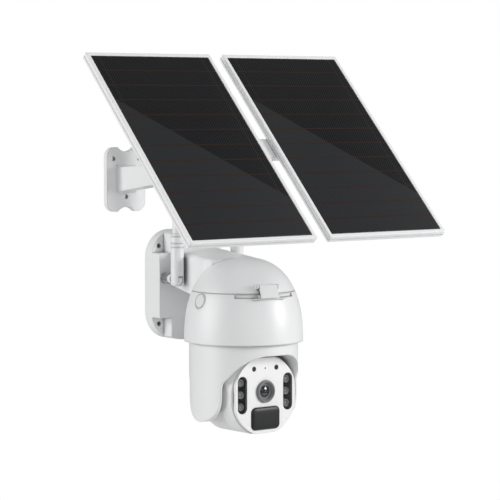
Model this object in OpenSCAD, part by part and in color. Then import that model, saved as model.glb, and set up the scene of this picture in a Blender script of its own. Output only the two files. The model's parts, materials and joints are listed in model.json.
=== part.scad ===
// Solar-powered pan and tilt security camera with a twin solar panel.
// Millimetres. +Z is up and the wall is the plane Y = 0; the camera looks along -Y.
// The origin is the centre of the camera's wall base, on the wall.

/* [Wall base] */
// Width of the wall base
base_w = 88; // [86:1:92]
// Height of the wall base
base_h = 112; // [110:1:118]
// Depth of the wall base from the wall
base_d = 27; // [26:0.5:29]
// Spacing of the wall screws across
screw_dx = 70; // [68:1:70]
// Spacing of the wall screws up and down
screw_dz = 80; // [78:1:82]

/* [Dome] */
// Distance from the wall to the pan axis
axis_d = 109; // [108:1:112]
// Radius of the dome at its rim
dome_r = 59.5; // [59:0.5:61]
// Height of the dome above its rim
dome_h = 83; // [82:0.5:86]
// Height of the rim
rim_z = -51; // [-52:0.5:-51]
// Height of the seam under the battery cover, above the rim
seam_h = 50; // [49:0.5:51]

/* [Yoke and pod] */
// Radius of the yoke
yoke_r = 54.5; // [54:0.1:55]
// Height of the tilt axis
tilt_z = -103; // [-104:0.5:-103]
// Half height of the camera pod
pod_r = 37.5; // [36:0.5:37.5]
// Distance of the pod's face from the tilt axis
face_d = 35; // [34.5:0.5:36]
// Half width of the camera pod at the tilt axis
pod_w = 44; // [43.5:0.5:44]

/* [Antennas] */
// Sideways distance of each antenna from the middle
ant_x = 38; // [38:0.1:38.5]
// Height of the antenna connectors
ant_z = 8; // [6:0.5:10]
// Length of each antenna from its elbow pin
ant_len = 160; // [140:5:165]

/* [Solar panel] */
// Width of one panel
panel_w = 142; // [138:1:144]
// Length of one panel
panel_l = 233; // [225:1:235]
// Thickness of one panel
panel_t = 7; // [6.5:0.5:8]
// Gap between the two panels
panel_gap = 15; // [13:1:18]
// Lean of the panels back from upright, in degrees
panel_lean = 44; // [40:1:48]
// Sideways position of the panel bracket
arm_x = -70; // [-72:1:-70]
// Height of the panel bracket's wall plate
arm_z = 108.5; // [108:0.5:110]

/* [Hidden] */

base_t = 1.5;
skin = 2.5;
corner_r = 28;
notch_d = 13;
latch_turn = 10;
dome_n = 2.4;
pod_d = axis_d + face_d;
jack_d = base_d + 22;
gear_slack = 0.6;
array_c = [arm_x, -237, 148];
swivel_d = 196;
swivel_z = 128;
pivot_off = 26;
led_x = 28.5;
led_z = 2;
white = [0.93, 0.93, 0.92];
grey = [0.55, 0.56, 0.58];
dark = [0.08, 0.08, 0.09];
steel = [0.75, 0.75, 0.77];

function dome_at(h, inset = 0) =
  let(rr = dome_r - inset, hh = dome_h - inset)
  h >= hh ? 0 : rr * pow(1 - pow(h / hh, dome_n), 1 / dome_n);
function dome_points(inset, steps = 22) =
  [for (i = [0:steps]) let(h = (dome_h - inset) * sin(90 * i / steps)) [dome_at(h, inset), h]];
function roll(a) = tan(a) * 180 / PI - a;
function flank(r, n, m) =
  90 / n - gear_slack + roll(20) - roll(acos(min(1, m * n * cos(20) / 2 / r)));
function tooth(n, m, a) =
  let(rf = m * n / 2 - 1.25 * m, ra = m * n / 2 + m,
    rs = [for (i = [0:4]) max(rf, m * n * cos(20) / 2) * (1 - i / 4) + ra * i / 4])
  concat([[rf, a - flank(rs[0], n, m)]], [for (r = rs) [r, a - flank(r, n, m)]],
    [for (i = [4:-1:0]) [rs[i], a + flank(rs[i], n, m)]], [[rf, a + flank(rs[0], n, m)]]);
function gear_outline(n, m, turn = 0) =
  [for (i = [0:n - 1]) each [for (p = tooth(n, m, turn + 360 * i / n))
    [p[0] * cos(p[1]), p[0] * sin(p[1])]]];

// A flat shape drawn as seen from the front, pushed out from the wall between two distances.
module out(from, to) {
  translate([0, -from, 0])
    rotate([90, 0, 0])
      linear_extrude(to - from)
        children();
}

module rod_out(x, z, from, to, r) {
  translate([x, -from, z])
    rotate([90, 0, 0])
      cylinder(r = r, h = to - from);
}

module rod_across(from, to, d, z, r) {
  translate([from, -d, z])
    rotate([0, 90, 0])
      cylinder(r = r, h = to - from);
}

module rounded(w, h, r) {
  square([w - 2 * r, h], center = true);
  square([w, h - 2 * r], center = true);
  for (x = [-1, 1], y = [-1, 1])
    translate([x * (w / 2 - r), y * (h / 2 - r)])
      circle(r = r, $fn = 96);
}

module base_outline(inset) {
  rounded(base_w - 2 * inset, base_h - 2 * inset, corner_r - inset);
}

module corner_blocks(inset) {
  for (x = [-1, 1], z = [-1, 1])
    translate([x * (base_w / 2 + 20 - inset), z * (base_h / 2 + 20 - inset)])
      square([70, 86], center = true);
}

module wall_holes(r) {
  for (x = [-1, 1], z = [-1, 1])
    translate([x * screw_dx / 2, z * screw_dz / 2])
      circle(r = r, $fn = 32);
}

module wall_gasket() {
  color(dark)
    out(0, base_t)
      difference() {
        base_outline(1);
        wall_holes(2.4);
      }
}

module wall_base() {
  color(white)
    difference() {
      out(base_t, base_d)
        base_outline(0);
      out(base_t - 1, base_d - skin)
        difference() {
          base_outline(skin);
          corner_blocks(2.5);
        }
      out(notch_d, base_d + 1)
        corner_blocks(0);
      out(0, base_d)
        wall_holes(2.4);
      for (x = [-1, 1])
        rod_out(x * ant_x, ant_z, base_d - 5, base_d + 1, 3.2, $fn = 32);
      rod_out(0, 18, base_d - 5, base_d + 1, 11, $fn = 48);
      translate([22, -14, -base_h / 2 - 1])
        cylinder(r = 5, h = 14, $fn = 32);
    }
}

module back_plate() {
  color(grey)
    out(base_t + 0.1, base_t + 2)
      difference() {
        base_outline(skin + 0.1);
        corner_blocks(2.6);
        circle(r = 6, $fn = 32);
      }
}

module dc_inlet() {
  color(dark)
    translate([22, -14, -base_h / 2])
      difference() {
        union() {
          translate([0, 0, -6])
            cylinder(r = 6.5, h = 6, $fn = 48);
          cylinder(r = 4.95, h = 12, $fn = 48);
        }
        translate([0, 0, -7])
          cylinder(r = 2.8, h = 13, $fn = 32);
      }
}

module antenna_jacks() {
  color(steel)
    for (x = [-1, 1])
      difference() {
        union() {
          rod_out(x * ant_x, ant_z, base_d, base_d + 1.8, 5.4, $fn = 48);
          rod_out(x * ant_x, ant_z, base_d - 6, base_d + 9, 3.1, $fn = 32);
        }
        rod_out(x * ant_x, ant_z, base_d + 3, base_d + 10, 1.6, $fn = 24);
      }
}

module antenna_nuts() {
  color(steel)
    for (x = [-1, 1])
      difference() {
        rod_out(x * ant_x, ant_z, base_d + 2.4, base_d + 10, 5.2, $fn = 48);
        rod_out(x * ant_x, ant_z, base_d + 2, base_d + 11, 3.16, $fn = 32);
      }
}

module dome_solid(inset) {
  translate([0, -axis_d, rim_z])
    rotate_extrude($fn = 128)
      polygon(concat([[0, inset > 0 ? -1 : 0]], inset > 0 ? [[dome_r - inset, -1]] : [],
        dome_points(inset)));
}

// The neck slopes down from the wall base to the top of the dome.
module neck_section(inset) {
  intersection() {
    translate([0, -107 - inset])
      circle(r = 107, $fn = 256);
    translate([0, -50 - inset])
      rounded(62 - 2 * inset, 100, 12 - inset / 2);
  }
}

module neck_plan(inset, back) {
  translate([0, 0, -60])
    linear_extrude(180)
      polygon([for (s = [-1, 1]) each [for (i = [0:5]) let(q = [[28.8, back], [31, 72],
        [30.2, 82], [27, 92], [20, 101], [9, 106 - inset]][s < 0 ? i : 5 - i])
        [s * (q[0] - inset), -q[1]]]]);
}

module neck(inset) {
  back = base_d - (inset > 0 ? 0.1 : 0);
  intersection() {
    translate([0, -base_d, 40])
      rotate([5.86, 0, 0])
        out(-12, 100)
          neck_section(inset);
    across(60)
      polygon([[back, inset], [back, 60], [110, 60], [110, -16.6 + inset]]);
    neck_plan(inset, back);
  }
}

// The battery cover is the dome above the seam, up to the sides of the neck.
module cover_zone(gap) {
  difference() {
    translate([-80, -axis_d - 80, rim_z + seam_h + gap])
      cube([160, axis_d + 60, 80]);
    neck_plan(-gap, -10);
  }
}

module grip_slots() {
  for (a = [-37.5, 12.5])
    translate([0, -axis_d, rim_z + seam_h - 4])
      rotate([0, 0, -90 + a - latch_turn])
        rotate_extrude(angle = 25, $fn = 128)
          translate([dome_at(seam_h - 4) - 1.9, 0])
            square([6, 3.4]);
}

module badge_seat(r, depth, h) {
  translate([-dome_at(42) + 0.6, -axis_d, rim_z + 42])
    rotate([0, -90 + 14, 0])
      translate([0, 0, -depth])
        cylinder(r = r, h = h, $fn = 64);
}

module dome_body() {
  color(white)
    difference() {
      union() {
        intersection() {
          dome_solid(0);
          translate([-80, -axis_d - 80, rim_z - 1])
            cube([160, 160, seam_h + 1]);
        }
        neck(0);
        translate([0, -axis_d, 0])
          rotate([0, 0, -latch_turn])
            out(46, dome_at(seam_h - 3) + 0.8)
              translate([0, rim_z + seam_h - 3])
                square([35, 4.6], center = true);
      }
      dome_solid(skin);
      neck(skin);
      grip_slots();
      badge_seat(7.8, 1.4, 10);
    }
}

module side_badge() {
  color(grey)
    badge_seat(7.6, 1.3, 2.1);
}

module pan_floor() {
  color(grey)
    translate([0, -axis_d, rim_z + 3])
      difference() {
        cylinder(r = dome_r - skin - 0.2, h = 3, $fn = 128);
        translate([0, 0, -1])
          cylinder(r = 9.06, h = 5, $fn = 64);
      }
}

module pan_bearing() {
  color(dark)
    translate([0, -axis_d, rim_z + 1.1])
      difference() {
        cylinder(r = 20, h = 1.8, $fn = 64);
        translate([0, 0, -1])
          cylinder(r = 9.3, h = 4, $fn = 64);
      }
}

module pan_motor() {
  color(steel)
    translate([0, -axis_d + 30.1, rim_z + 13])
      difference() {
        cylinder(r = 10, h = 12, $fn = 64);
        translate([0, 0, -1])
          cylinder(r = 1.05, h = 9, $fn = 24);
      }
}

module pan_pinion() {
  color([0.85, 0.80, 0.55])
    translate([0, -axis_d + 30.1, rim_z + 7.2]) {
      linear_extrude(5)
        polygon(gear_outline(12, 1, 15 - 90));
      cylinder(r = 1, h = 13, $fn = 24);
    }
}

module pan_gear() {
  color([0.85, 0.80, 0.55])
    translate([0, -axis_d, rim_z + 7.4])
      difference() {
        linear_extrude(4.4)
          polygon(gear_outline(48, 1, 90));
        translate([0, 0, -1])
          cylinder(r = 9.02, h = 7, $fn = 64);
      }
}

module main_board() {
  color([0.05, 0.32, 0.16])
    translate([-36, -axis_d - 30, rim_z + 27]) {
      cube([72, 60, 1.6]);
      translate([10, 12, -1.2])
        cube([14, 14, 1.2]);
      translate([40, 34, -2.4])
        cube([18, 10, 2.4]);
    }
}

module cell_bank(r, len) {
  for (i = [-1:1])
    rod_across(-len / 2, len / 2, axis_d + 19.5 * i, rim_z + 45, r, $fn = 64);
}

module battery_holder() {
  color(dark)
    difference() {
      translate([-36, -axis_d - 31, rim_z + 31])
        cube([72, 62, 12]);
      cell_bank(9.4, 66);
    }
}

module battery_cells() {
  color([0.15, 0.35, 0.62])
    cell_bank(9.2, 65);
}

module latch_place() {
  translate([0, -axis_d, rim_z + seam_h + 8])
    rotate([0, 0, -latch_turn])
      translate([0, -dome_at(seam_h + 8), 0])
        rotate([-25.3, 0, 0])
          children();
}

module latch_barrel(r, from, to) {
  translate([from, -2.3, -1.6])
    rotate([0, 90, 0])
      cylinder(r = r, h = to - from, $fn = 32);
}

module battery_cover() {
  color(white)
    difference() {
      union() {
        intersection() {
          difference() {
            dome_solid(0);
            dome_solid(skin);
          }
          cover_zone(0.35);
        }
        latch_place()
          for (x = [-12.2, 9.8])
            difference() {
              union() {
                latch_barrel(2, x, x + 2.4);
                translate([x, -2.3, -3.6])
                  cube([2.4, 4.3, 4]);
              }
              latch_barrel(0.86, x - 1, x + 4);
            }
      }
      latch_place()
        translate([-9.6, -4, 0.8])
          cube([19.2, 4.8, 4]);
    }
}

module latch_pin() {
  color(steel)
    latch_place()
      latch_barrel(0.8, -12.1, 12.1);
}

module latch_flap() {
  color(white)
    latch_place()
      difference() {
        union() {
          latch_barrel(1.9, -9.5, 9.5);
          translate([-9.5, -4.1, -14.6])
            cube([19, 2.1, 13.1]);
        }
        latch_barrel(0.86, -10, 10);
      }
}

function yoke_half(t) = 25.5 + 17.25 * (1 + cos(180 * t));

module yoke_side() {
  polygon(concat([[axis_d - 60, rim_z + 20]],
    [for (i = [0:16]) [axis_d - yoke_half(i / 16), rim_z - 10 - 31 * i / 16]],
    [[axis_d - 25.5, tilt_z], [axis_d + 25.5, tilt_z]],
    [for (i = [16:-1:0]) [axis_d + yoke_half(i / 16), rim_z - 10 - 31 * i / 16]],
    [[axis_d + 60, rim_z + 20]]));
  translate([axis_d, tilt_z])
    circle(r = 25.5, $fn = 96);
}

// A flat shape drawn as distance from the wall and height, pushed across from -w to w.
module across(w) {
  translate([w, 0, 0])
    rotate([90, 0, -90])
      linear_extrude(2 * w)
        children();
}

module yoke() {
  color(white)
    difference() {
      union() {
        intersection() {
          translate([0, -axis_d, tilt_z - 40])
            cylinder(r = yoke_r, h = rim_z + 1 - tilt_z + 40, $fn = 128);
          across(70)
            yoke_side();
        }
        translate([0, -axis_d, rim_z + 0.5])
          cylinder(r = 9, h = 13, $fn = 64);
      }
      out(axis_d - 70, axis_d + 70)
        translate([0, tilt_z - 59])
          rounded(93, 200, 36);
      translate([0, -axis_d, rim_z - 12])
        cylinder(r = 4.5, h = 30, $fn = 48);
      for (x = [-50.5, 45])
        rod_across(x, x + 5.5, axis_d, tilt_z, 5, $fn = 48);
    }
}

module tilt_pins() {
  color(steel)
    for (x = [-50.4, 30.2])
      rod_across(x, x + 20.2, axis_d, tilt_z, 4.96, $fn = 48);
}

module tilt_washers() {
  color(dark)
    for (x = [-46.2, 44.3])
      difference() {
        rod_across(x, x + 1.9, axis_d, tilt_z, 9, $fn = 48);
        rod_across(x - 1, x + 4, axis_d, tilt_z, 5.2, $fn = 48);
      }
}

module tilt_gear() {
  color([0.85, 0.80, 0.55])
    translate([-34, -axis_d, tilt_z])
      rotate([0, 90, 0])
        difference() {
          linear_extrude(4)
            polygon(gear_outline(40, 0.8, 90));
          translate([0, 0, -1])
            cylinder(r = 4.98, h = 6, $fn = 48);
        }
}

module tilt_pinion() {
  color([0.85, 0.80, 0.55])
    translate([-34, -axis_d + 20.9, tilt_z])
      rotate([0, 90, 0]) {
        linear_extrude(4)
          polygon(gear_outline(12, 0.8, 15));
        cylinder(r = 1, h = 10, $fn = 24);
      }
}

module tilt_motor() {
  color(steel)
    difference() {
      rod_across(-29.2, -13.7, axis_d - 20.9, tilt_z, 9, $fn = 64);
      rod_across(-30, -23.6, axis_d - 20.9, tilt_z, 1.05, $fn = 24);
    }
}

module pod_side(inset) {
  translate([axis_d, tilt_z])
    circle(r = pod_r - inset, $fn = 128);
  translate([axis_d, tilt_z - pod_r + inset])
    square([face_d + 10, 2 * (pod_r - inset)]);
}

function pod_half(d, inset) =
  d > 0 ? pod_w - inset - 5.2 * pow(d / 37, 2.2) :
  (pod_w - inset) * pow(1 - pow(-d / (43 - inset), 2.8), 1 / 2.8);

module pod_top(inset) {
  polygon([for (s = [-1, 1]) each [for (i = [0:20])
    let(d = -39 + inset + (76 - inset) * (s < 0 ? i : 20 - i) / 20)
    [s * pod_half(d, inset), -axis_d - d]]]);
}

// The pod narrows to the round face.
module pod_nose(inset) {
  translate([0, -axis_d, tilt_z])
    rotate([90, 0, 0])
      rotate_extrude($fn = 128)
        polygon([[0, -45], [54 - inset, -45], [54 - inset, 0], [50.5 - inset, 8],
          [46.6 - inset, 17], [43.3 - inset, 25], [40.8 - inset, 31], [39.4 - inset, 35.5],
          [0, 35.5]]);
}

// Behind its axis the pod is a barrel about that axis, so it clears the yoke at every tilt.
module pod_back(inset) {
  translate([-60, -axis_d - 60, tilt_z - 60])
    cube([120, 60, 120]);
  translate([0, -axis_d, tilt_z])
    rotate([0, 90, 0])
      rotate_extrude($fn = 128)
        polygon(concat([[0, -44.5]], [for (i = [-22:22]) let(x = abs(2 * i))
          [(x < 20 ? pod_r : min(pod_r, 4 + sqrt(35 * 35 - pow(x - 10.5, 2)))) - inset, 2 * i]],
          [[0, 44.5]]));
}

module pod_form(inset) {
  intersection() {
    pod_back(inset);
    across(60)
      pod_side(inset);
    translate([0, 0, tilt_z - 60])
      linear_extrude(120)
        pod_top(inset);
    out(axis_d - 50, pod_d - 3)
      translate([0, tilt_z])
        rounded(2 * (pod_w - inset), 2 * (pod_r - inset), 33 - inset);
    pod_nose(inset);
  }
}

module face_outline(inset) {
  intersection() {
    circle(r = 39.4 - inset, $fn = 128);
    square([2 * (37.4 - inset), 2 * (37.4 - inset)], center = true);
  }
}

module speaker_holes() {
  for (i = [-1:1], j = [-1:1])
    rod_out(5 * i, tilt_z + 5 * j, axis_d - 42, axis_d - 30, 0.9, $fn = 16);
}

module card_seat(grow) {
  translate([-12 - grow, -axis_d - 24 - grow, tilt_z - pod_r - 1])
    cube([24 + 2 * grow, 14.2 + 2 * grow, 2.6]);
}

module pod_shell() {
  color(white)
    difference() {
      pod_form(0);
      difference() {
        translate([0, -0.02, 0])
          pod_form(skin);
        translate([-16, -axis_d - 28, tilt_z - pod_r])
          cube([32, 20, 8]);
      }
      card_seat(0.3);
      translate([-10, -axis_d - 22, tilt_z - pod_r - 1])
        cube([12, 4, 10]);
      translate([8, -axis_d - 18, tilt_z - pod_r - 1])
        cylinder(r = 2.05, h = 10, $fn = 32);
      rod_across(-13.4, 13.4, axis_d + 11.4, tilt_z - pod_r + 0.8, 0.42, $fn = 16);
      for (x = [-50, 36])
        rod_across(x, x + 14, axis_d, tilt_z, 5.03, $fn = 48);
      speaker_holes();
    }
}

module card_socket() {
  color(steel)
    translate([-9.8, -axis_d - 21.8, tilt_z - pod_r + 6.1])
      cube([11.6, 3.6, 1.8]);
}

module card_cover() {
  color(grey)
    difference() {
      union() {
        translate([-12, -axis_d - 24, tilt_z - pod_r])
          cube([24, 12.6, 1.4]);
        rod_across(-12, 12, axis_d + 11.4, tilt_z - pod_r + 0.8, 0.75, $fn = 24);
      }
      rod_across(-13, 13, axis_d + 11.4, tilt_z - pod_r + 0.8, 0.46, $fn = 16);
    }
}

module card_cover_pin() {
  color(steel)
    rod_across(-13.3, 13.3, axis_d + 11.4, tilt_z - pod_r + 0.8, 0.4, $fn = 16);
}

module reset_button() {
  color(dark)
    translate([8, -axis_d - 18, tilt_z - pod_r + 2.4])
      cylinder(r = 1.98, h = 4.2, $fn = 32);
}

module led_slots(grow) {
  for (x = [-1, 1])
    translate([x * led_x, tilt_z + led_z])
      rounded(11.6 + 2 * grow, 37 + 2 * grow, 5.6 + grow);
}

module pir_shape(grow) {
  translate([0, tilt_z - 22.7])
    rounded(35 + 2 * grow, 22.5 + 2 * grow, 5 + grow);
}

module sensor_places() {
  for (x = [-14, 14])
    translate([x, tilt_z + 27])
      children();
}

module pod_face() {
  color([0.96, 0.96, 0.96])
    out(pod_d - 2.98, pod_d)
      difference() {
        translate([0, tilt_z])
          face_outline(0);
        translate([0, tilt_z + 4])
          circle(r = 11.05, $fn = 96);
        led_slots(0);
        pir_shape(0.05);
        sensor_places()
          circle(r = 2.55, $fn = 32);
        translate([0, tilt_z + 27])
          circle(r = 0.8, $fn = 16);
      }
}

module image_board() {
  color([0.05, 0.32, 0.16])
    out(pod_d - 16, pod_d - 14.4)
      translate([0, tilt_z + 2])
        square([52, 50], center = true);
}

module lens_barrel() {
  color(dark)
    translate([0, -pod_d + 14.3, tilt_z + 4])
      rotate([90, 0, 0])
        rotate_extrude($fn = 96)
          polygon([[4, 0], [11, 0], [11, 16.2], [10.2, 16.9], [9.2, 16.9], [7.6, 14.6],
            [7.6, 13.6], [6, 13.6], [6, 12.4], [4, 12.4]]);
}

module lens_glass() {
  color([0.10, 0.12, 0.16, 0.6])
    translate([0, -pod_d + 14.3, tilt_z + 4])
      rotate([90, 0, 0])
        rotate_extrude($fn = 96)
          polygon([[0, 12.5], [5.9, 12.5], [5.9, 13.1], [5, 13.9], [3.6, 14.5], [2, 14.9],
            [0, 15]]);
}

module led_board() {
  color([0.05, 0.32, 0.16])
    out(pod_d - 8, pod_d - 6.8)
      difference() {
        translate([0, tilt_z + 2])
  square([62, 38], center = true);
        translate([0, tilt_z + 4])
          circle(r = 11.4, $fn = 64);
        pir_shape(0.6);
      }
}

module led_lenses() {
  color([0.95, 0.93, 0.75])
    for (x = [-1, 1], i = [-1:1])
      rod_out(x * led_x, tilt_z + led_z + 12 * i, pod_d - 6.8, pod_d - 2.6, 3.7, $fn = 48);
}

module led_windows() {
  color([0.9, 0.9, 0.92, 0.4])
    out(pod_d - 1.9, pod_d - 0.6)
      led_slots(-0.1);
}

module pir_window() {
  color(dark)
    difference() {
      union() {
        out(pod_d - 5, pod_d + 1.2)
          pir_shape(0);
        out(pod_d + 1.2, pod_d + 2.2)
          pir_shape(-1.6);
      }
      out(pod_d - 6, pod_d - 1)
        pir_shape(-2);
    }
}

module pir_sensor() {
  color(steel)
    rod_out(0, tilt_z - 22.5, pod_d - 12, pod_d - 6, 4.6, $fn = 48);
}

module light_sensors() {
  color(dark)
    out(pod_d - 6, pod_d - 0.4)
      sensor_places()
        circle(r = 2.45, $fn = 32);
}

module microphone() {
  color(steel)
    rod_out(0, tilt_z + 27, pod_d - 6, pod_d - 3.2, 2.5, $fn = 32);
}

module speaker() {
  color(dark)
    rod_out(0, tilt_z, axis_d - 30, axis_d - 25, 13, $fn = 64);
}

module pod_board() {
  color([0.05, 0.32, 0.16])
    out(axis_d + 12, axis_d + 13.6)
      translate([0, tilt_z - 4])
        square([56, 46], center = true);
}

// The turning elbow of one antenna: a stub on the connector axis and a flat tongue.
module knuckle(x) {
  color(white)
    difference() {
      union() {
        rod_out(x, ant_z, base_d + 10.3, base_d + 15.2, 4.6, $fn = 48);
        rod_across(x - 2.5, x + 2.5, jack_d, ant_z, 5.6, $fn = 48);
        translate([x - 2.5, -jack_d, ant_z - 4])
          cube([5, 7.5, 8]);
      }
      rod_across(x - 3, x + 3, jack_d, ant_z, 1.3, $fn = 24);
    }
}

module antenna(x) {
  color(white)
    difference() {
      union() {
        translate([x, -jack_d, ant_z]) {
          difference() {
            cylinder(r = 6.7, h = 46, $fn = 64);
            for (z = [32, 36, 43])
              translate([0, 0, z])
                difference() {
                  cylinder(r = 8, h = 1, $fn = 64);
                  cylinder(r = 6.1, h = 1, $fn = 64);
                }
          }
          cylinder(r = 5, h = ant_len - 5, $fn = 48);
          translate([0, 0, ant_len - 5])
            sphere(r = 5, $fn = 48);
        }
        intersection() {
          rod_out(x, ant_z, jack_d - 8, jack_d + 8, 7.6, $fn = 64);
          rod_across(x - 6.7, x + 6.7, jack_d, ant_z, 6.7, $fn = 64);
          translate([x, -jack_d, ant_z - 7])
            cylinder(r = 6.7, h = 14, $fn = 64);
        }
      }
      rod_across(x - 2.7, x + 2.7, jack_d, ant_z, 7.2, $fn = 48);
      translate([x - 2.7, -jack_d, ant_z - 10])
        cube([5.4, 12, 17.2]);
      rod_across(x - 5.2, x + 5.2, jack_d, ant_z, 1.22, $fn = 24);
    }
}

module knuckle_left() {
  knuckle(-ant_x);
}

module antenna_left() {
  antenna(-ant_x);
}

module knuckle_right() {
  knuckle(ant_x);
}

module antenna_right() {
  antenna(ant_x);
}

module antenna_pin(x) {
  rod_across(x - 5.1, x + 5.1, jack_d, ant_z, 1.2, $fn = 24);
}

module elbow_pin_left() {
  color(steel)
    antenna_pin(-ant_x);
}

module elbow_pin_right() {
  color(steel)
    antenna_pin(ant_x);
}

module plate_outline() {
  difference() {
    rounded(47, 65, 10);
    for (z = [-1, 1])
      translate([0, z * 42])
        circle(r = 14, $fn = 64);
  }
}

module plate_holes() {
  for (p = [[-15.5, 21], [15.5, 21], [0, -17.5]])
    translate(p)
      circle(r = 2.2, $fn = 32);
}

module arm_side() {
  polygon([[0, -14.5], [5.5, -14], [7.5, -12], [swivel_d - 11, 13.1], [swivel_d, 13.1],
    [swivel_d, 26], [swivel_d - 4, 25.6], [8, 12.4], [5.5, 14.5], [0, 14.5]]);
}

module arm_top() {
  polygon([[12, 0], [12, -5.5], [10, -8], [7.2, -swivel_d + 3], [7.2, -swivel_d],
    [-7.2, -swivel_d], [-7.2, -swivel_d + 3], [-10, -8], [-12, -5.5], [-12, 0]]);
}

module panel_bracket() {
  color(white)
    translate([arm_x, 0, arm_z])
      difference() {
        union() {
          out(0, 5.5)
            plate_outline();
          intersection() {
            across(20)
              arm_side();
            translate([0, 0, -30])
              linear_extrude(80)
                arm_top();
          }
          translate([0, -swivel_d, swivel_z - arm_z - 6.5])
            cylinder(r = 9, h = 13, $fn = 64);
        }
        out(-1, 8)
          plate_holes();
        translate([0, -swivel_d, swivel_z - arm_z - 12])
          cylinder(r = 4.05, h = 24, $fn = 48);
      }
}

function pivot() = array_c - pivot_off * [0, -sin(90 - panel_lean), cos(90 - panel_lean)];

module swivel_pin() {
  color(steel)
    translate([arm_x, -swivel_d, swivel_z - 10.8]) {
      cylinder(r = 4, h = 21.6, $fn = 48);
      translate([0, 0, 21.6])
        cylinder(r = 6, h = 2, $fn = 48);
      translate([0, 0, -2])
        cylinder(r = 6, h = 2, $fn = 48);
    }
}

module swivel_head() {
  p = pivot();
  color(white)
    difference() {
      union() {
        for (z = [swivel_z - 10.8, swivel_z + 6.8])
          translate([arm_x, -swivel_d, z]) {
            cylinder(r = 9, h = 4, $fn = 64);
            translate([-9, -13.4, 0])
              cube([18, 13.4, 4]);
          }
        translate([arm_x - 12, -swivel_d - 13.4, swivel_z - 10.8])
          cube([24, 3.4, 21.6]);
        for (x = [-12, 7.2])
          translate([arm_x + x, 0, 0]) {
            rod_across(0, 4.8, -p[1], p[2], 8, $fn = 64);
            translate([0, p[1], p[2] - 8])
              cube([4.8, -swivel_d - 11 - p[1], 16]);
          }
      }
      translate([arm_x, -swivel_d, swivel_z - 12])
        cylinder(r = 4.02, h = 26, $fn = 48);
      rod_across(arm_x - 13, arm_x + 13, -p[1], p[2], 3.05, $fn = 32);
    }
}

module tilt_bolt() {
  p = pivot();
  color(steel)
    union() {
      rod_across(arm_x - 15.5, arm_x + 14, -p[1], p[2], 3, $fn = 32);
      rod_across(arm_x + 12.1, arm_x + 16, -p[1], p[2], 5.5, $fn = 6);
    }
}

module lock_knob() {
  p = pivot();
  color(dark)
    difference() {
      union() {
        rod_across(arm_x - 15, arm_x - 12.3, -p[1], p[2], 6, $fn = 48);
        rod_across(arm_x - 24, arm_x - 15, -p[1], p[2], 9.5, $fn = 48);
      }
      rod_across(arm_x - 21, arm_x - 12, -p[1], p[2], 3.04, $fn = 32);
      for (a = [0:45:315])
        translate([arm_x - 26, p[1] + 11 * cos(a), p[2] + 11 * sin(a)])
          rotate([0, 90, 0])
            cylinder(r = 2.4, h = 12, $fn = 24);
    }
}

// The array's own frame: x across, y up along the panel, z out of its front face.
module on_array() {
  translate(array_c)
    rotate([90 - panel_lean, 0, 0])
      children();
}

module both_panels() {
  for (x = [-1, 1])
    translate([x * (panel_w + panel_gap) / 2, 0, 0])
      children();
}

module slab(w, l, low, high) {
  translate([-w / 2, -l / 2, low])
    cube([w, l, high - low]);
}

module panel_frames() {
  color([0.88, 0.89, 0.90])
    on_array()
      difference() {
        both_panels()
          difference() {
            slab(panel_w, panel_l, -panel_t, 0);
            slab(panel_w - 8, panel_l - 8, -panel_t + 2, 1);
          }
        bar_screw_places()
          translate([0, 0, -panel_t - 1])
            cylinder(r = 1.95, h = 4, $fn = 24);
      }
}

module panel_cells() {
  color([0.05, 0.06, 0.07])
    on_array()
      both_panels()
        slab(panel_w - 8.4, panel_l - 8.4, -panel_t + 2.05, -1.5);
}

module panel_glass() {
  color([0.10, 0.11, 0.12, 0.5])
    on_array()
      both_panels()
        slab(panel_w - 8.4, panel_l - 8.4, -1.45, -0.4);
}

module bar_screw_places() {
  for (x = [-118, -39, 39, 118], y = [-5, 5])
    translate([x, y, 0])
      children();
}

module cross_bar() {
  color(white)
    on_array()
      difference() {
        union() {
          slab(260, 24, -panel_t - 4, -panel_t - 0.02);
          for (x = [-118, 30], y = [-12, 9.5])
            translate([x, y, -panel_t - 8])
              cube([88, 2.5, 5]);
          translate([-6.9, -8, -pivot_off])
            cube([13.8, 16, pivot_off - panel_t - 1]);
          translate([-6.9, 0, -pivot_off])
            rotate([0, 90, 0])
              cylinder(r = 8, h = 13.8, $fn = 64);
        }
        translate([-8, 0, -pivot_off])
          rotate([0, 90, 0])
            cylinder(r = 3.05, h = 16, $fn = 32);
        bar_screw_places()
          translate([0, 0, -panel_t - 5])
            cylinder(r = 2.05, h = 6, $fn = 24);
      }
}

module junction_boxes() {
  color(grey)
    on_array()
      both_panels()
        difference() {
          union() {
            translate([-23, -80, -panel_t - 10.5])
              cube([46, 36, 10.48]);
            translate([0, -79, -13])
              rotate([90, 0, 0])
                cylinder(r = 4.4, h = 14, $fn = 48);
          }
          translate([0, -75, -13])
            rotate([90, 0, 0])
              cylinder(r = 2, h = 19, $fn = 32);
        }
}

module bar_screws() {
  color(steel)
    on_array()
      bar_screw_places() {
        translate([0, 0, -panel_t - 6.2])
          cylinder(r = 3.6, h = 2.18, $fn = 32);
        translate([0, 0, -panel_t - 5])
          cylinder(r = 1.9, h = 6.8, $fn = 24);
      }
}

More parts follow.
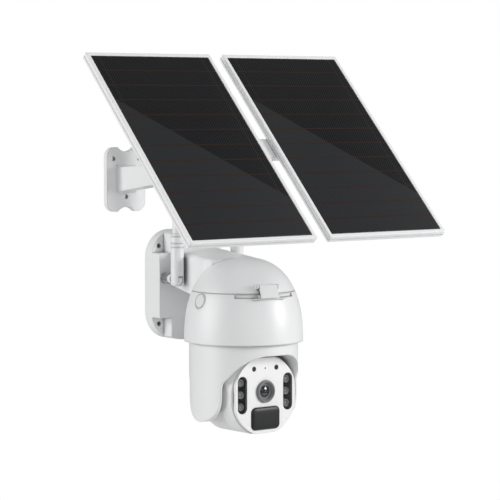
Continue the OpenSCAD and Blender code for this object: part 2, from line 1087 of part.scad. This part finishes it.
wall_gasket();
wall_base();
back_plate();
dc_inlet();
antenna_jacks();
antenna_nuts();
dome_body();
side_badge();
pan_floor();
pan_bearing();
pan_motor();
main_board();
battery_holder();
battery_cells();
battery_cover();
latch_pin();
latch_flap();
pan_pinion();
yoke();
pan_gear();
tilt_pins();
tilt_washers();
tilt_gear();
pod_shell();
pod_face();
image_board();
lens_barrel();
lens_glass();
led_board();
led_lenses();
led_windows();
pir_window();
pir_sensor();
light_sensors();
microphone();
speaker();
pod_board();
tilt_motor();
tilt_pinion();
card_socket();
card_cover();
card_cover_pin();
reset_button();
knuckle_left();
antenna_left();
knuckle_right();
antenna_right();
elbow_pin_left();
elbow_pin_right();
panel_bracket();
swivel_pin();
swivel_head();
tilt_bolt();
lock_knob();
cross_bar();
panel_frames();
panel_cells();
panel_glass();
junction_boxes();
bar_screws();
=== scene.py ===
import json
from math import cos, pi, radians, sin

import bmesh
import bpy
from mathutils import Matrix, Vector


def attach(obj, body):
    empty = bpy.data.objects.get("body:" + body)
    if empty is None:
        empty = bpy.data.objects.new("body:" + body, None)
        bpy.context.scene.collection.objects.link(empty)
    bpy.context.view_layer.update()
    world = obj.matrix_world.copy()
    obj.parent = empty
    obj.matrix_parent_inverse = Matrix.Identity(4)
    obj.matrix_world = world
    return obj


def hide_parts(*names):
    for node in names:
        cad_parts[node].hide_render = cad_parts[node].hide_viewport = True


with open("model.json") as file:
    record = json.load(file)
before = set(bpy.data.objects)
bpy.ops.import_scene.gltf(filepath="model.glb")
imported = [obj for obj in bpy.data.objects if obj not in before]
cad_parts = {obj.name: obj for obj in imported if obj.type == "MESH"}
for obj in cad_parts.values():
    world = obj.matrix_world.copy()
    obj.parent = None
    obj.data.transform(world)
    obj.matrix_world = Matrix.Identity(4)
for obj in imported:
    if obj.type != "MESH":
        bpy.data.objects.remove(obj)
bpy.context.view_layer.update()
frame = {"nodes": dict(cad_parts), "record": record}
nodes = frame["nodes"]
MM = 0.001

# The part's own measures, in millimetres and degrees, as the solids have them.
PANEL_W, PANEL_H, PANEL_X = 142, 233, 78.5
ARRAY_AT, ARRAY_LEAN = (-70, -237, 148), 46
DOME_R, DOME_H, DOME_POWER, DOME_RIM, DOME_DEPTH = 59.5, 83.0, 2.4, -51, 109
BADGE_R, BADGE_UP, BADGE_TURN = 7.6, 42.0, -76
FACE_D, AXIS_Z = 144.0, -103.0
LED_X, LED_Z, LED_STEP = 28.5, 2, 12
PIR_W, PIR_H, PIR_Z = 35, 22.5, -22.7


# ---------------------------------------------------------------- camera, light and stage
CAMERA_AT, CAMERA_TURN, CAMERA_DIP = (-1.3428, -1.8382, 0.1835), 38.0, 3.77
FILL_STRENGTH = 0.21


def make_camera():
    data = bpy.data.cameras.new("camera")
    data.sensor_width = 36.0
    data.lens = 158.4
    data.clip_start = 0.05
    data.clip_end = 60.0
    cam = bpy.data.objects.new("camera", data)
    cam.location = CAMERA_AT
    turn, dip = radians(CAMERA_TURN), radians(CAMERA_DIP)
    forward = Vector((sin(turn) * cos(dip), cos(turn) * cos(dip), -sin(dip)))
    cam.rotation_euler = forward.to_track_quat("-Z", "Y").to_euler()
    bpy.context.collection.objects.link(cam)
    bpy.context.scene.camera = cam


def area_light(name, place, target, size, power):
    data = bpy.data.lights.new(name, "AREA")
    data.shape = "RECTANGLE"
    data.size = data.size_y = size
    data.energy = power
    lamp = bpy.data.objects.new(name, data)
    lamp.location = place
    aim = Vector(target) - Vector(place)
    lamp.rotation_euler = aim.to_track_quat("-Z", "Y").to_euler()
    bpy.context.collection.objects.link(lamp)


def make_world():
    world = bpy.data.worlds.new("studio")
    bpy.context.scene.world = world
    world.use_nodes = True
    tree = world.node_tree
    tree.nodes.clear()
    out = tree.nodes.new("ShaderNodeOutputWorld")
    mix = tree.nodes.new("ShaderNodeMixShader")
    path = tree.nodes.new("ShaderNodeLightPath")
    seen = tree.nodes.new("ShaderNodeBackground")
    seen.inputs["Color"].default_value = (1, 1, 1, 1)
    seen.inputs["Strength"].default_value = 1.0
    fill = tree.nodes.new("ShaderNodeBackground")
    fill.inputs["Color"].default_value = (1, 1, 1, 1)
    fill.inputs["Strength"].default_value = FILL_STRENGTH
    tree.links.new(path.outputs["Is Camera Ray"], mix.inputs[0])
    tree.links.new(fill.outputs[0], mix.inputs[1])
    tree.links.new(seen.outputs[0], mix.inputs[2])
    tree.links.new(mix.outputs[0], out.inputs["Surface"])


make_camera()
make_world()
bpy.context.scene.view_settings.view_transform = "Standard"
bpy.context.scene.view_settings.look = "None"
area_light("key_right", (1.5, -1.95, 0.6), (0, -0.1, 0), 1.0, 40)
area_light("front", (-0.9, -2.3, 1.0), (0, -0.1, 0), 1.8, 12)
area_light("rim_left", (-2.1, 0.6, 0.5), (0, -0.1, 0), 1.4, 31)
area_light("top", (-0.2, -0.6, 2.4), (0, -0.15, 0), 1.4, 8)


def array_matrix():
    """The solar array's own frame: x across, y up along the panel, z out of its front."""
    place = Matrix.Translation([c * MM for c in ARRAY_AT])
    return place @ Matrix.Rotation(radians(ARRAY_LEAN), 4, "X")


# ---------------------------------------------------------------- materials
EDGE_WEAR = 0.05


def node(tree, kind, **values):
    made = tree.nodes.new(kind)
    for key, value in values.items():
        setattr(made, key, value)
    return made


def plastic(name, colour, rough=0.42, grain=0.00045, bump=0.12, mottle=0.02,
            metal=0.0, coat=0.0, edge=0.0009, gloss=0.5, crevice=0.3):
    """A moulded surface: fine spark texture, faint mottling, softened and slightly worn edges, and
    painted shade that darkens its colour in narrow gaps.

    grain and edge are lengths in metres, crevice is how much of the colour the painted shade leaves in
    narrow gaps.
    """
    mat = bpy.data.materials.new(name)
    mat.use_nodes = True
    tree = mat.node_tree
    tree.nodes.clear()
    link = tree.links.new
    out = node(tree, "ShaderNodeOutputMaterial")
    shader = node(tree, "ShaderNodeBsdfPrincipled")
    shader.inputs["Metallic"].default_value = metal
    shader.inputs["Coat Weight"].default_value = coat
    shader.inputs["Specular IOR Level"].default_value = gloss
    shader.inputs["Coat Roughness"].default_value = 0.12
    place = node(tree, "ShaderNodeTexCoord")
    broad = node(tree, "ShaderNodeTexNoise")
    broad.inputs["Scale"].default_value = 38.0
    broad.inputs["Detail"].default_value = 3.0
    link(place.outputs["Object"], broad.inputs["Vector"])
    fine = node(tree, "ShaderNodeTexNoise")
    fine.inputs["Scale"].default_value = 1.0 / grain
    fine.inputs["Detail"].default_value = 2.0
    link(place.outputs["Object"], fine.inputs["Vector"])
    tone = node(tree, "ShaderNodeMix", data_type="RGBA")
    darker = [c * (1 - mottle * 2) for c in colour]
    tone.inputs["A"].default_value = (*darker, 1)
    tone.inputs["B"].default_value = (*colour, 1)
    link(broad.outputs["Fac"], tone.inputs["Factor"])
    soft = node(tree, "ShaderNodeBevel")
    soft.samples = 4
    soft.inputs["Radius"].default_value = edge
    geo = node(tree, "ShaderNodeNewGeometry")
    turn = node(tree, "ShaderNodeVectorMath", operation="DOT_PRODUCT")
    link(soft.outputs[0], turn.inputs[0])
    link(geo.outputs["Normal"], turn.inputs[1])
    worn = node(tree, "ShaderNodeMapRange")
    worn.inputs["From Min"].default_value = 0.97
    worn.inputs["From Max"].default_value = 0.8
    worn.inputs["To Max"].default_value = EDGE_WEAR
    link(turn.outputs["Value"], worn.inputs["Value"])
    edged = node(tree, "ShaderNodeMix", data_type="RGBA")
    pale = [min(1.0, c * 1.25 + 0.12) for c in colour]
    edged.inputs["B"].default_value = (*pale, 1)
    link(worn.outputs[0], edged.inputs["Factor"])
    link(tone.outputs["Result"], edged.inputs["A"])
    # Painted shade: ambient occlusion darkens the base colour in narrow gaps, corners and seams.
    shade = node(tree, "ShaderNodeAmbientOcclusion")
    shade.samples = 6
    shade.inputs["Distance"].default_value = 0.005
    painted_shade_range = node(tree, "ShaderNodeMapRange")
    painted_shade_range.inputs["From Min"].default_value = 0.15
    painted_shade_range.inputs["From Max"].default_value = 0.75
    painted_shade_range.inputs["To Min"].default_value = crevice
    link(shade.outputs["AO"], painted_shade_range.inputs["Value"])
    painted_shade_colour = node(tree, "ShaderNodeVectorMath", operation="SCALE")
    link(edged.outputs["Result"], painted_shade_colour.inputs[0])
    link(painted_shade_range.outputs[0], painted_shade_colour.inputs["Scale"])
    link(painted_shade_colour.outputs[0], shader.inputs["Base Color"])
    shine = node(tree, "ShaderNodeMapRange")
    shine.inputs["To Min"].default_value = rough * 0.85
    shine.inputs["To Max"].default_value = min(1.0, rough * 1.15)
    link(broad.outputs["Fac"], shine.inputs["Value"])
    link(shine.outputs[0], shader.inputs["Roughness"])
    relief = node(tree, "ShaderNodeBump")
    relief.inputs["Strength"].default_value = bump
    relief.inputs["Distance"].default_value = 0.0002
    link(fine.outputs["Fac"], relief.inputs["Height"])
    link(soft.outputs[0], relief.inputs["Normal"])
    link(relief.outputs[0], shader.inputs["Normal"])
    link(shader.outputs[0], out.inputs["Surface"])
    return mat


def clear(name, tint, strength):
    """A thin clear window with a little haze and scratches in its sheen."""
    mat = plastic(name, tint, rough=0.08, bump=0.02)
    tree = mat.node_tree
    link = tree.links.new
    out = next(n for n in tree.nodes if n.type == "OUTPUT_MATERIAL")
    shader = next(n for n in tree.nodes if n.type == "BSDF_PRINCIPLED")
    see = node(tree, "ShaderNodeBsdfTransparent")
    mix = node(tree, "ShaderNodeMixShader")
    mix.inputs[0].default_value = strength
    link(see.outputs[0], mix.inputs[1])
    link(shader.outputs[0], mix.inputs[2])
    link(mix.outputs[0], out.inputs["Surface"])
    return mat


def laminate(name):
    """The textured cover: twelve rows, copper lines, a fine diamond grain, and a painted reflection
    sheen that lightens one diagonal half.
    """
    mat = plastic(name, (0.006, 0.0063, 0.007), rough=0.14, bump=0.03, mottle=0.08, gloss=0.3)
    tree = mat.node_tree
    link = tree.links.new
    shader = next(n for n in tree.nodes if n.type == "BSDF_PRINCIPLED")
    base = shader.inputs["Base Color"].links[0].from_socket
    place = node(tree, "ShaderNodeTexCoord")
    split = node(tree, "ShaderNodeSeparateXYZ")
    link(place.outputs["Object"], split.inputs[0])

    def sum_of(op, a, b=None, c=None):
        made = node(tree, "ShaderNodeMath", operation=op)
        for index, value in enumerate((a, b, c)):
            if value is None:
                continue
            if isinstance(value, (int, float)):
                made.inputs[index].default_value = value
            else:
                link(value, made.inputs[index])
        return made.outputs[0]

    def line(value, pitch, half, blur):
        fold = sum_of("PINGPONG", value, pitch / 2)
        ramp = node(tree, "ShaderNodeMapRange", interpolation_type="SMOOTHSTEP")
        ramp.inputs["From Min"].default_value = half + blur
        ramp.inputs["From Max"].default_value = half
        link(fold, ramp.inputs["Value"])
        return ramp.outputs[0]

    def over(under, colour, factor):
        mix = node(tree, "ShaderNodeMix", data_type="RGBA")
        mix.inputs["B"].default_value = (*colour, 1)
        link(factor, mix.inputs["Factor"])
        link(under, mix.inputs["A"])
        return mix.outputs["Result"]

    across, along = split.outputs["X"], split.outputs["Y"]
    row, diamond = 0.0188, 0.0028
    cell_edge = 0.0585
    middle = PANEL_X * MM
    first = sum_of("ADD", across, along)
    second = sum_of("SUBTRACT", across, along)
    grain = sum_of("MULTIPLY", line(first, diamond, 0.0004, 0.0007),
                   line(second, diamond, 0.0004, 0.0007))
    local = sum_of("SUBTRACT", across, sum_of("MULTIPLY", sum_of("SIGN", across), middle))
    # Painted reflection: a lighter lower-left diagonal half of each panel stands in for the sheen on
    # the cover.
    painted_sheen_edge = node(tree, "ShaderNodeMapRange", interpolation_type="SMOOTHSTEP")
    painted_sheen_edge.inputs["From Min"].default_value = 0.0015
    painted_sheen_edge.inputs["From Max"].default_value = -0.0015
    link(sum_of("MULTIPLY_ADD", local, 0.94, sum_of("ADD", along, 0.0045)),
         painted_sheen_edge.inputs["Value"])
    tone = over(base, (0.0215, 0.0225, 0.0235), painted_sheen_edge.outputs[0])
    colour = over(tone, (0.045, 0.046, 0.049), sum_of("MULTIPLY", grain, 0.5))
    colour = over(colour, (0.04, 0.016, 0.011), line(along, row, 0.00028, 0.0003))
    side = sum_of("SUBTRACT", sum_of("ABSOLUTE", across), middle)
    thin = node(tree, "ShaderNodeMapRange", interpolation_type="SMOOTHSTEP")
    thin.inputs["From Min"].default_value = 0.0008
    thin.inputs["From Max"].default_value = 0.0003
    thin.inputs["To Max"].default_value = 0.5
    link(sum_of("ABSOLUTE", sum_of("SUBTRACT", sum_of("ABSOLUTE", side), cell_edge)),
         thin.inputs["Value"])
    colour = over(colour, (0.03, 0.03, 0.032), thin.outputs[0])
    link(colour, shader.inputs["Base Color"])
    relief = next(n for n in tree.nodes if n.type == "BUMP")
    height = sum_of("MULTIPLY", grain, 1.5)
    second_relief = node(tree, "ShaderNodeBump")
    second_relief.inputs["Strength"].default_value = 0.08
    second_relief.inputs["Distance"].default_value = 0.0001
    link(height, second_relief.inputs["Height"])
    link(relief.outputs[0], second_relief.inputs["Normal"])
    link(second_relief.outputs[0], shader.inputs["Normal"])
    return mat


LOOKS = {
    "gasket_rubber": plastic("gasket_rubber", (0.03, 0.03, 0.032), rough=0.8),
    "white_shell": plastic("white_shell", (0.86, 0.865, 0.87), rough=0.36, edge=0.0014),
    "face_white": plastic("face_white", (0.9, 0.9, 0.9), rough=0.34),
    "inner_plastic": plastic("inner_plastic", (0.1, 0.1, 0.11), rough=0.6),
    "black_plastic": plastic("black_plastic", (0.015, 0.015, 0.017), rough=0.3),
    "badge_plastic": plastic("badge_plastic", (0.82, 0.82, 0.83), rough=0.25, edge=0.0003),
    "card_rubber": plastic("card_rubber", (0.7, 0.7, 0.7), rough=0.7),
    "steel_metal": plastic("steel_metal", (0.6, 0.6, 0.61), rough=0.28, metal=1.0, mottle=0.06),
    "circuit_board": plastic("circuit_board", (0.008, 0.03, 0.018), rough=0.3, mottle=0.2),
    "cell_wrap": plastic("cell_wrap", (0.02, 0.10, 0.28), rough=0.25, mottle=0.1),
    "gear_plastic": plastic("gear_plastic", (0.7, 0.64, 0.42), rough=0.45),
    "lens_coated": plastic("lens_coated", (0.02, 0.022, 0.03), rough=0.05, coat=1.0, bump=0.0),
    "led_clear": plastic("led_clear", (0.55, 0.55, 0.55), rough=0.2, coat=0.6, bump=0.02, crevice=1.0),
    "slot_clear": clear("slot_clear", (0.06, 0.06, 0.06), 0.2),
    "sensor_dark": plastic("sensor_dark", (0.014, 0.014, 0.015), rough=0.42, coat=0.1, gloss=0.35),
    "frame_silver": plastic("frame_silver", (0.88, 0.885, 0.89), rough=0.32),
    "solar_cells": plastic("solar_cells", (0.012, 0.013, 0.014), rough=0.3),
    "solar_cover": laminate("solar_cover"),
}
DOME_WHITE = plastic("dome_white", (0.86, 0.865, 0.87), rough=0.36, edge=0.0028)
LENS_GREY = plastic("lens_grey", (0.21, 0.212, 0.218), rough=0.32, grain=0.0003, edge=0.0003,
                    crevice=1.0)

slot_of = {s["node"]: s["material_slot"] for s in frame["record"]["subparts"]}
for name, obj in nodes.items():
    for holder in obj.material_slots:
        holder.material = LOOKS[slot_of.get(name)]
for name, look in (("lens_barrel", LENS_GREY), ("dome_body", DOME_WHITE),
                   ("battery_cover", DOME_WHITE)):
    for holder in nodes[name].material_slots:
        holder.material = look


# ---------------------------------------------------------------- pieces with finer shapes
def piece(name, rings, place, look, replaced, body, angle=32):
    """A mesh from rings of points joined one to the next, capped at both ends."""
    bm = bmesh.new()
    for group in rings:
        loops = [[bm.verts.new(p) for p in ring] for ring in group]
        for low, high in zip(loops, loops[1:]):
            count = len(low)
            for i in range(count):
                k = (i + 1) % count
                bm.faces.new((low[i], low[k], high[k], high[i]))
        bm.faces.new(list(reversed(loops[0])))
        bm.faces.new(loops[-1])
    bmesh.ops.recalc_face_normals(bm, faces=bm.faces)
    for face in bm.faces:
        face.smooth = True
    mesh = bpy.data.meshes.new(name)
    bm.to_mesh(mesh)
    bm.free()
    mesh.set_sharp_from_angle(angle=radians(angle))
    obj = bpy.data.objects.new(name, mesh)
    obj.matrix_world = place
    bpy.context.collection.objects.link(obj)
    mesh.materials.append(LOOKS[look])
    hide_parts(*replaced)
    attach(obj, body)


def turned(profile, count=64, at=(0.0, 0.0)):
    """Rings of a turned shape, from (radius, height) pairs in millimetres."""
    angles = [2 * pi * i / count for i in range(count)]
    return [[((at[0] + r * cos(a)) * MM, (at[1] + r * sin(a)) * MM, h * MM) for a in angles]
            for r, h in profile]


def pad(width, height, corner, lift, at=(0.0, 0.0), steps=8):
    """One ring: a rectangle with round corners at a height."""
    ring = []
    for k, (sx, sy) in enumerate(((1, 1), (-1, 1), (-1, -1), (1, -1))):
        for i in range(steps + 1):
            a = pi / 2 * (k + i / steps)
            ring.append(((at[0] + sx * (width / 2 - corner) + corner * cos(a)) * MM,
                         (at[1] + sy * (height / 2 - corner) + corner * sin(a)) * MM, lift * MM))
    return ring


def facing(d, z):
    """A place on the pod's front: local x across, y up, z out towards the viewer."""
    return Matrix.Translation((0, -d * MM, z * MM)) @ Matrix.Rotation(radians(90), 4, "X")


pir = [[pad(PIR_W - 2 * c, PIR_H - 2 * c, 5 - c * 0.6, h) for c, h in (
    (0, -5), (0, 0.5), (0.15, 0.95), (0.5, 1.35), (1.1, 1.7), (2.0, 1.95), (3.4, 2.12),
    (5.4, 2.2))]]
piece("motion_window", pir, facing(FACE_D, AXIS_Z + PIR_Z), "sensor_dark", ["pir_window"], "pod")

cups = []
for x in (-LED_X, LED_X):
    for step in (-LED_STEP, 0, LED_STEP):
        cups.append(turned(((3.7, -6.8), (3.7, -2.75), (3.62, -2.6), (3.35, -2.6), (3.25, -2.75),
                            (2.9, -4.1), (2.2, -5.1), (1.7, -5.4), (1.68, -4.7), (1.5, -4.1),
                            (1.1, -3.7), (0.6, -3.5), (0.2, -3.45)), 40, (x, step)))
piece("led_cups", cups, facing(FACE_D, AXIS_Z + LED_Z), "led_clear", ["led_lenses"], "pod", angle=50)

badge = [turned(((BADGE_R, -1.3), (BADGE_R, 0.5), (7.35, 0.75), (7.0, 0.8), (6.9, 0.3), (6.5, 0.3),
                 (6.4, 0.78), (3.0, 0.8), (0.4, 0.8)), 72)]
dome_side = DOME_R * (1 - (BADGE_UP / DOME_H) ** DOME_POWER) ** (1 / DOME_POWER)
badge_at = ((0.6 - dome_side) * MM, -DOME_DEPTH * MM, (DOME_RIM + BADGE_UP) * MM)
badge_place = Matrix.Translation(badge_at) @ Matrix.Rotation(radians(BADGE_TURN), 4, "Y")
piece("round_badge", badge, badge_place, "badge_plastic", ["side_badge"], "wall_mounts")

cover = []
for x in (-PANEL_X, PANEL_X):
    cover.append([pad(PANEL_W - c, PANEL_H - c, r, z, (x, 0)) for c, r, z in (
        (8.4, 1.0, -1.45), (8.4, 1.0, -0.55), (8.8, 0.9, -0.4))])
piece("cell_covers", cover, array_matrix(), "solar_cover", ["panel_glass"], "panel_array")

frames = []
for x in (-PANEL_X, PANEL_X):
    frames.append([pad(PANEL_W - 2 * c, PANEL_H - 2 * c, r, z, (x, 0)) for c, r, z in (
        (0.4, 0.8, -7), (0, 1.2, -6.6), (0, 1.2, -4.5), (0.45, 0.9, -4.3), (0.45, 0.9, -3.8),
        (0, 1.2, -3.6), (0, 1.2, -0.35), (0.35, 0.9, 0), (3.6, 0.6, 0), (3.9, 0.5, -0.35),
        (4.0, 0.5, -4.9))])
piece("frames", frames, array_matrix(), "frame_silver", ["panel_frames"], "panel_array")


def make_floor():
    mesh = bpy.data.meshes.new("floor")
    bm = bmesh.new()
    count = 96
    rings = turned([(1800, 0), (20, 0)], count)
    loops = [[bm.verts.new(p) for p in ring] for ring in rings]
    for i in range(count):
        k = (i + 1) % count
        bm.faces.new((loops[0][i], loops[0][k], loops[1][k], loops[1][i]))
    bm.faces.new(loops[1])
    bm.to_mesh(mesh)
    bm.free()
    obj = bpy.data.objects.new("floor", mesh)
    obj.location = (0, -0.2, -0.8)
    bpy.context.collection.objects.link(obj)
    mesh.materials.append(plastic("floor_paper", (0.85, 0.85, 0.85), rough=0.7))


make_floor()
